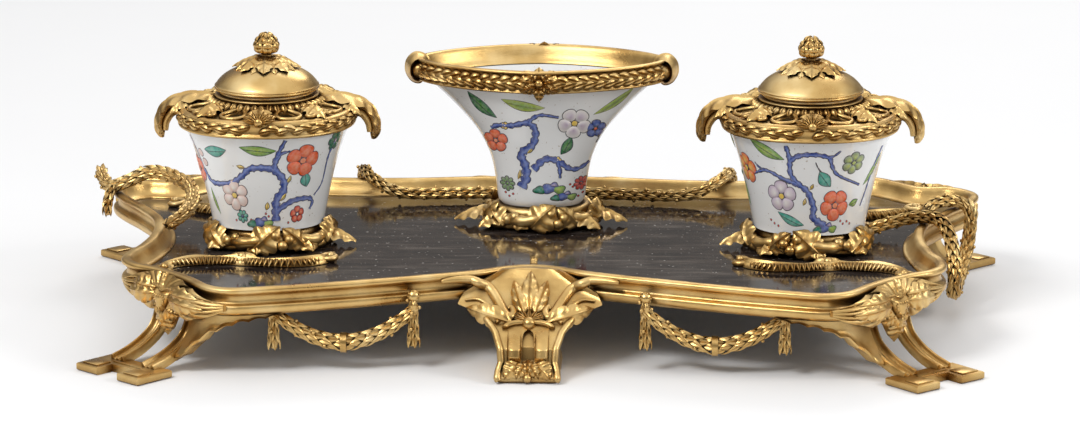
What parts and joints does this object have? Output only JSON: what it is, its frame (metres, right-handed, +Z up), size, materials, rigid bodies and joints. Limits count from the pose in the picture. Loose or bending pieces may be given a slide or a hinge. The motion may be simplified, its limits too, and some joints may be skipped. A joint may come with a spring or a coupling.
{
  "type": "desk inkstand",
  "caption": "Rococo style desk inkstand with a lacquered tray in gilt bronze, lidded porcelain inkwells, an open flared porcelain vessel and laurel garlands.",
  "frame": {"origin": "on the table, under the middle of the feet", "axes": "+X to the right of the person at the desk, -Y the front with the hanging garlands, +Z up"},
  "size_m": [0.3886, 0.2377, 0.1173],
  "materials": {
    "gilt_bronze": "gilded and chased, worn to brown in the hollows",
    "glazed_porcelain": "clear glaze over enamelled prunus sprays",
    "black_lacquer": "polished lacquer, worn in streaks",
    "liner_gilding": "plain gilt metal",
    "bolt_iron": "dark and plain"
  },
  "bodies": {
    "inkstand": {"tray_frame": "gilt_bronze", "lacquer_panel": "black_lacquer", "leg_front_left": "gilt_bronze", "leg_front_right": "gilt_bronze", "leg_back_left": "gilt_bronze", "leg_back_right": "gilt_bronze", "cartouche_front_left": "gilt_bronze", "cartouche_front_right": "gilt_bronze", "cartouche_back_left": "gilt_bronze", "cartouche_back_right": "gilt_bronze", "scroll_front_left": "gilt_bronze", "scroll_front_right": "gilt_bronze", "scroll_back_left": "gilt_bronze", "scroll_back_right": "gilt_bronze", "centre_foot_front": "gilt_bronze", "centre_foot_back": "gilt_bronze", "crest_front": "gilt_bronze", "boss_left_outer": "gilt_bronze", "boss_left_inner": "gilt_bronze", "boss_right_outer": "gilt_bronze", "boss_right_inner": "gilt_bronze", "garland_front_left": "gilt_bronze", "garland_front_right": "gilt_bronze", "garland_left": "gilt_bronze", "garland_right": "gilt_bronze", "garland_back": "gilt_bronze", "mount_left": "gilt_bronze", "cup_left": "glazed_porcelain", "collar_left": "gilt_bronze", "bolt_left": "bolt_iron", "nut_left": "bolt_iron", "mount_right": "gilt_bronze", "cup_right": "glazed_porcelain", "collar_right": "gilt_bronze", "bolt_right": "bolt_iron", "nut_right": "bolt_iron", "mount_centre": "gilt_bronze", "vessel_centre": "glazed_porcelain", "collar_centre": "gilt_bronze", "bolt_centre": "bolt_iron", "nut_centre": "bolt_iron"},
    "liner_left": {"liner_left": "liner_gilding"},
    "lid_left": {"lid_left": "gilt_bronze", "lid_leaves_left": "gilt_bronze", "finial_left": "gilt_bronze"},
    "liner_right": {"liner_right": "liner_gilding"},
    "lid_right": {"lid_right": "gilt_bronze", "lid_leaves_right": "gilt_bronze", "finial_right": "gilt_bronze"}
  },
  "joints": [
    {"name": "liner_left_lift", "type": "slide", "parent": "inkstand", "child": "liner_left", "axis": [0, 0, 1], "range_m": [0, 0.05]},
    {"name": "lid_left_lift", "type": "slide", "parent": "liner_left", "child": "lid_left", "axis": [0, 0, 1], "range_m": [0, 0.04]},
    {"name": "liner_right_lift", "type": "slide", "parent": "inkstand", "child": "liner_right", "axis": [0, 0, 1], "range_m": [0, 0.05]},
    {"name": "lid_right_lift", "type": "slide", "parent": "liner_right", "child": "lid_right", "axis": [0, 0, 1], "range_m": [0, 0.04]}
  ]
}
